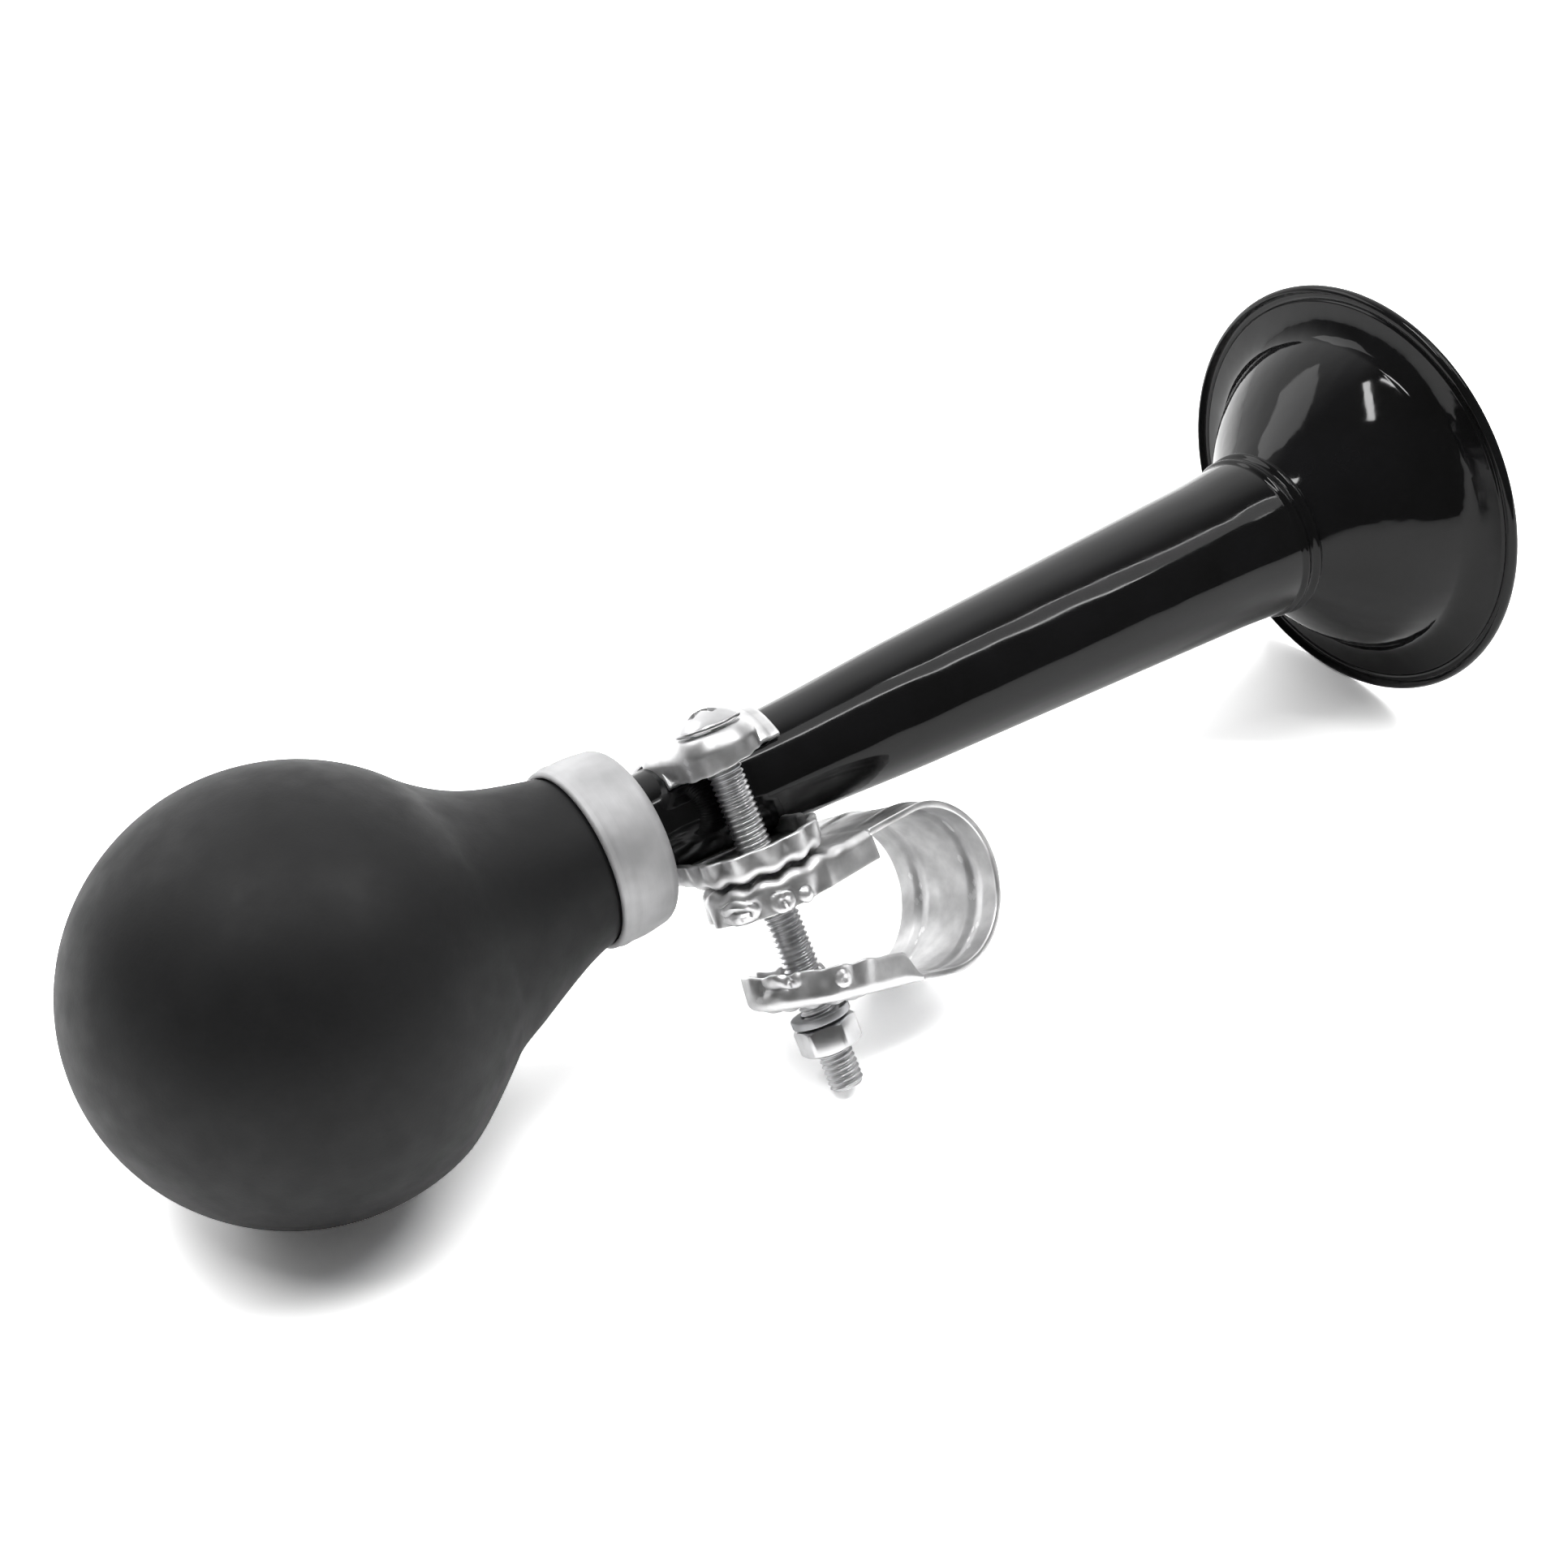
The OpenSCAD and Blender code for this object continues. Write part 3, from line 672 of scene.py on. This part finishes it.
# Clamp
def strap_round_tube():
    """Band, tab and disc. The band is a cone just off the tube, from under it round its far
    side and over the top by 56 degrees. With a the angle from below, its first edge
    slants by (1 - cos(a)) / 2 from the disc's width to the tab's, its last edge draws in
    by 1.4 mm over the top, and a bead of 0.35 mm runs beside that edge."""
    a = np.radians(np.linspace(0, 180 + BAND_WRAP, 120))
    slant = EAR_R + 0.9 - TAB_R + 0.5
    x_first = BAND_X0 + 0.2 + slant * (1 - np.cos(a)) / 2
    x_last = BAND_X0 + BAND_LEN - 0.2 - 1.4 * smooth(a, 2.4, 4.0)
    x = x_first + (x_last - x_first) * np.linspace(0, 1, 64)[:, None]
    r = tube_r(x) + BAND_GAP + STRAP_T / 2 + 0.35 * bump(x - x_last + 2.4, 1.2)
    band = xyz(x, r * np.sin(a), -r * np.cos(a))
    to_tube = turn("Z", math.pi / 2)
    tab = ear(TAB_R, BOLT_Y, FLANGE + 0.3, pleat=0.14, edge_wave=-0.12, knobs=[(2.6, 1.9, 0)],
              boss=1.1, lean=0.22)
    tab = set_at(tab, to_tube, [BOLT_X, -BOLT_Y, TAB_Z + STRAP_T / 2])
    disc = ear(EAR_R, BOLT_Y, FLANGE, TOOTH_H, 0.75, edge_wave=-0.35)
    disc = set_at(mirror_z(disc), to_tube, [BOLT_X, -BOLT_Y, -EAR_Z - STRAP_T / 2])
    grids = thick(band) + thick(tab) + thick(disc)
    build("strap_round_tube", grids, zinc, "horn_clamp", "horn_strap")


def bar_loop():
    """Middle surface of the loop: rows run along the sheet from the upper leg round the loop
    to the lower leg, and columns across it. With turned from 0 on the legs to 1 on the
    loop, it widens by LOOP_WIDER * turned on each side, and two beads stand out by
    BEAD_H * bump(|across| - BEAD_V) * turned."""
    mid_r = LOOP_R + STRAP_T / 2
    a = np.linspace(math.pi / 2, -math.pi / 2 - LEG_SLOPE, 140)
    lead = np.linspace(FLANGE_REACH, LOOP_REACH, 16)[:-1]
    path = xyz(np.concatenate([lead, LOOP_REACH + mid_r * np.cos(a)]), 0.0,
               np.concatenate([0 * lead + LOOP_Z + mid_r, LOOP_Z + mid_r * np.sin(a)]))
    out = xyz(np.concatenate([0 * lead, np.cos(a)]), 0.0, np.concatenate([0 * lead + 1, np.sin(a)]))
    leg_way = np.array([-math.cos(LEG_SLOPE), 0.0, math.sin(LEG_SLOPE)])
    back = np.linspace(0, LEG_LEN - FLANGE_REACH, 16)[1:, None]
    path = np.vstack([path, path[-1] + back * leg_way])
    out = np.vstack([out, np.repeat(out[-1:], len(back), axis=0)])
    i = np.arange(len(path))
    turned = (smooth(i, 2, 17) * (1 - smooth(i, len(path) - 18, len(path) - 3)))[:, None]
    across = (LEG_HALF + LOOP_WIDER * turned) * np.linspace(-1, 1, 121)
    lift = BEAD_H * bump(np.abs(across) - BEAD_V, BEAD_HALF) * turned
    middle = path[:, None] + out[:, None] * lift[..., None]
    return middle + xyz(0.0, across, 0.0)


def strap_round_bar():
    """Loop and two toothed ears. The upper ear lies under the tube's disc, and the lower one
    faces up along the sloping leg. All is swung round the bolt by SWING."""
    upper = ear(EAR_R, FLANGE_REACH, BAR_FLANGE, TOOTH_H, 0.85, edge_wave=-0.2,
                knobs=[(-1.9, 3.0, 0), (-4.7, 2.6, 0.9), (-8.2, 2.3, 0.8)])
    upper = upper + [0, 0, -LOOP_TOP - STRAP_T / 2]
    lower = ear(EAR_R, FLANGE_REACH, BAR_FLANGE + 0.2, TOOTH_H, 0.75, (6.2, 8.0), -0.35,
                [(-8.6, 2.5, -1), (-7.4, 3.3, 0.5), (-2.0, 2.4, 0.5)], taper=3.4)
    lower = set_at(mirror_z(lower + [0, 0, -STRAP_T / 2]), turn("Y", LEG_SLOPE), [0, 0, LEG_Z])
    grids = thick(bar_loop()) + thick(upper) + thick(lower)
    swung = turn("Z", SWING)
    grids = [(on_bolt(p @ swung.T), uv) for p, uv in grids]
    build("strap_round_bar", grids, zinc, "bar_clamp", "handlebar_strap")


def threaded_shank():
    """r = BOLT_R - THREAD_DEPTH * w, with w a cosine wave of z / pitch - angle / 2 pi in
    turns, limited by a chamfer at the bolt's end. Poles close both ends."""
    per_pitch = 12
    a = np.linspace(0, 2 * np.pi, 73)
    z = np.linspace(END_Z, HEAD_Z - 0.2, int(BOLT_LEN / PITCH * per_pitch))
    wave = 0.5 + 0.5 * np.cos(2 * np.pi * z[:, None] / PITCH - a)
    r = np.minimum(BOLT_R - THREAD_DEPTH * wave, BOLT_R - BOLT_TIP + (z[:, None] - END_Z))
    rows = np.concatenate([polar(0.0, z[0], a)[None], polar(r, z[:, None], a), polar(0.0, z[-1], a)[None]])
    return on_bolt(rows), uv_grid(a[None, :], np.linspace(0, 1, len(rows))[:, None])


def cross_slot(x, y):
    """1 inside a cross of two slots, 0 outside, smooth between. Each slot narrows along its
    length from 0.55 mm on either side of its middle."""
    slot = np.zeros_like(x)
    for p, q in ((x, y), (y, x)):
        half = 0.55 - 0.1 * np.abs(p) / 2.4
        slot = np.maximum(slot, smooth(half + 0.12 - np.abs(q), 0, 0.14) * smooth(2.55 - np.abs(p), 0, 0.3))
    return slot


def domed_head():
    """Spherical dome over a short round wall, z = HEAD_H - crown + sqrt(crown^2 - r^2), with
    a cross slot that is 1.7 mm deep in the middle and shallower outwards."""
    edge_h = 0.6
    dome_h = HEAD_H - edge_h
    crown = (HEAD_R**2 + dome_h**2) / (2 * dome_h)
    slot_turn = math.radians(20)
    a = np.linspace(0, 2 * np.pi, 193)
    r = np.concatenate([np.linspace(0, HEAD_R - 0.3, 90), [HEAD_R - 0.26, HEAD_R - 0.1, HEAD_R]])[:, None]
    z = HEAD_H - crown + np.sqrt(crown**2 - r**2)
    # The last three rows are the chamfer between dome and wall
    z[-3:] = [[0.86], [0.86], [0.76]]
    z = z - cross_slot(r * np.cos(a - slot_turn), r * np.sin(a - slot_turn)) * (1.7 - 0.45 * r)
    under = ((HEAD_R, 0.42), (HEAD_R - 0.1, 0.3), (1.0, 0.3), (0.0, 0.3))
    rows = np.concatenate([polar(r, HEAD_Z + z, a), [polar(q, HEAD_Z + h, a) for q, h in under]])
    return on_bolt(rows), uv_grid(a[None, :], np.linspace(0, 1, len(rows))[:, None])


def threaded_bolt():
    """M5 bolt: a helical thread and a domed head with a cross slot."""
    build("threaded_bolt", [threaded_shank(), domed_head()], bright_zinc, "bolt",
          "clamp_bolt", sharp=55)


def spring_washer():
    """Flat wire with rounded corners, 1.2 mm thick and 1.65 mm wide, swept by 350 degrees
    while it climbs 0.4 mm, and closed at its two ends."""
    corner = 0.18
    outer = WASHER_R1 - 0.35 - corner
    inner = WASHER_R0 + corner
    high = WASHER_T - corner
    section = np.vstack([arc(outer, high, corner, 0, 90, 5), arc(inner, high, corner, 90, 180, 5),
                         arc(inner, corner, corner, 180, 270, 5), arc(outer, corner, corner, 270, 360, 5)])
    section = np.vstack([section, section[:1]])
    a = np.radians(np.linspace(0, 350, 121))[:, None]
    climb = (WASHER_H - WASHER_T) * a / a[-1]
    coil = polar(section[:, 0], WASHER_Z0 + section[:, 1] + climb, a)
    first, last = (np.broadcast_to(coil[e].mean(axis=0), coil[e].shape)[None] for e in (0, -1))
    coil = np.concatenate([first, coil, last])
    build("spring_washer", [(on_bolt(coil), no_uv(coil))], spring_steel_painted_shade, "washer",
          "lock_washer")


def hex_nut():
    """Hexagon r = AF / 2 / cos(angle to the nearest flat), its corners cut to a circle and
    its faces chamfered by 30 degrees. The bore is cut with the bolt's thread, 0.3 mm
    deep."""
    apothem = NUT_AF / 2
    corner_r = apothem * 1.115
    face_r = apothem * 0.93
    mouth_r = 3.05
    a = np.linspace(0, 2 * np.pi, 241)
    hexagon = np.minimum(apothem / np.cos((a + np.pi / 6) % (np.pi / 3) - np.pi / 6), corner_r)
    chamfer = (hexagon - apothem * 0.95) * math.tan(math.radians(30))
    lower = [(face_r, 0.0), ((face_r + hexagon) / 2, chamfer * 0.42), (hexagon - 0.05, chamfer - 0.03),
             (hexagon, chamfer + 0.08)]
    rows = lower + [(r, NUT_H - h) for r, h in reversed(lower)] + [(mouth_r, NUT_H)]
    for h in np.linspace(NUT_H - 0.3, 0.3, 44):
        phase = ((h + NUT_Z0) / PITCH - a / (2 * np.pi)) % 1.0
        groove = 1 - np.clip(np.abs(phase - 0.5) * 2.6 - 0.1, 0, 1)
        rows.append((BOLT_R + 0.1 + 0.3 * groove, h))
    rows += [(mouth_r, 0.0), lower[0]]
    nut = np.array([polar(r, h + NUT_Z0, a) for r, h in rows])
    build("hex_nut", [(on_bolt(nut), no_uv(nut))], bright_zinc, "nut", "nut", sharp=25)


def dress_reed():
    """The reed keeps its CAD solids, a plastic holder and three pieces of brass."""
    for name in ("reed_holder", "reed_shallot", "reed_tongue", "reed_wedge"):
        look, slot = (plastic, "holder_plastic") if name == "reed_holder" else (brass, "reed_brass")
        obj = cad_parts[name]
        obj.data.materials.clear()
        obj.data.materials.append(look)


rubber_bulb()
neck_ring_cup()
black_tube()
black_bell()
strap_round_tube()
strap_round_bar()
threaded_bolt()
spring_washer()
hex_nut()
dress_reed()


# Stage, in the row frame and metres
def pale_floor():
    """Matt pale floor. Its colour is 2.4 times as bright to the camera, which makes it white
    there and keeps the shadows, and 1.33 times as bright in reflections."""
    m, tree, _ = material("pale_floor")
    path = node(tree, "ShaderNodeLightPath").outputs
    mirrored = node(tree, "ShaderNodeMapRange",
                    {"Value": path["Is Glossy Ray"], "To Min": 1.0, "To Max": 1.33})
    shown = node(tree, "ShaderNodeMapRange",
                 {"Value": path["Is Camera Ray"], "To Min": mirrored.outputs[0], "To Max": 2.4})
    paper = node(tree, "ShaderNodeVectorMath", {0: rgb("#f8f8f8")[:3], "Scale": shown.outputs[0]},
                 operation="SCALE")
    matt = node(tree, "ShaderNodeBsdfDiffuse", {"Color": paper.outputs[0]})
    tree.links.new(matt.outputs[0], tree.nodes["Material Output"].inputs["Surface"])
    bpy.ops.mesh.primitive_plane_add(size=2.0, location=(0, 0, -0.0002))
    floor = bpy.context.object
    floor.name = "floor"
    floor.data.materials.append(m)


def facing(where, aim, roll):
    """Rotation that looks from one place to another, turned by roll degrees about its view."""
    track = (Vector(aim) - Vector(where)).to_track_quat("-Z", "Y")
    return track @ Quaternion((0, 0, 1), math.radians(roll))


def soft_light(name, where, size, radiance, spin=0.0, aim=None, mirrored=True):
    """Rectangular lamp that faces aim, or straight down, turned by spin degrees about its
    beam. One that isn't mirrored lights matt surfaces and leaves no glint on glossy ones."""
    data = bpy.data.lights.new(name, "AREA")
    data.shape = "RECTANGLE"
    data.size, data.size_y = size
    data.energy = math.pi * size[0] * size[1] * radiance
    lamp = bpy.data.objects.new(name, data)
    lamp.location = where
    lamp.rotation_euler = facing(where, aim or (*where[:2], 0), spin).to_euler()
    lamp.visible_glossy = mirrored
    bpy.context.scene.collection.objects.link(lamp)


def studio_world():
    """World that is dim in front and overhead and bright towards the back on the right, by
    a smooth step of the view's share along that way, and white to the camera itself."""
    bright_way = (0.37, 0.9, 0.21)
    world = bpy.data.worlds.new("studio")
    bpy.context.scene.world = world
    world.use_nodes = True
    tree = world.node_tree
    shade = tree.nodes["Background"]
    view = node(tree, "ShaderNodeTexCoord").outputs["Generated"]
    share = node(tree, "ShaderNodeVectorMath", {0: view, 1: bright_way}, operation="DOT_PRODUCT")
    light = node(tree, "ShaderNodeMapRange",
                 {"Value": share.outputs["Value"], "From Min": 0.28, "From Max": 0.85,
                  "To Min": 0.1, "To Max": 1.27}, interpolation_type="SMOOTHSTEP")
    seen = node(tree, "ShaderNodeLightPath").outputs["Is Camera Ray"]
    backdrop = node(tree, "ShaderNodeMath", {0: light.outputs[0], 1: seen}, operation="MAXIMUM")
    tree.links.new(backdrop.outputs[0], shade.inputs["Color"])
    shade.inputs["Strength"].default_value = 1.0


def photo_camera():
    """Camera where the photograph was taken from, fitted to the horn's outline."""
    at = (-0.161367, -0.231772, 0.232235)
    aim = (0.017578, 0.031521, 0.0)
    roll = -2.8386
    data = bpy.data.cameras.new("camera")
    data.lens = 55.75
    data.sensor_width = 36
    data.clip_start, data.clip_end = 0.01, 20
    cam = bpy.data.objects.new("camera", data)
    bpy.context.scene.collection.objects.link(cam)
    cam.matrix_world = Matrix.Translation(at) @ facing(at, aim, roll).to_matrix().to_4x4()
    bpy.context.scene.camera = cam


pale_floor()
soft_light("ceiling", (0.35, 0.1, 1.2), (1.6, 1.4), 0.65, mirrored=False)
soft_light("floor_light", (0.15, 0.25, 0.8), (1.0, 1.0), 0.87, mirrored=False)
# A wide dim lamp between two bright strips, which draw the lines along bulb and tube
strips_spin = -42
soft_light("tube_light", (0.55, -0.25, 1.0), (0.62, 0.24), 2.0, spin=strips_spin)
soft_light("tube_light_near", (0.47, -0.34, 1.0), (0.62, 0.05), 19.6, spin=strips_spin)
soft_light("tube_light_far", (0.62, -0.16, 1.0), (0.6, 0.03), 27.6, spin=strips_spin)
soft_light("bell_glint", (-0.38, 0.05, 1.0), (0.5, 0.08), 23.0, spin=43)
soft_light("bell_glint_side", (-0.03, -0.1, 1.0), (0.45, 0.035), 26.0, spin=-75)
soft_light("back_window", (-0.45, 0.8, 0.7), (0.7, 0.4), 2.3, aim=(0, 0, 0))
studio_world()
photo_camera()
bpy.context.scene.view_settings.view_transform = "Standard"
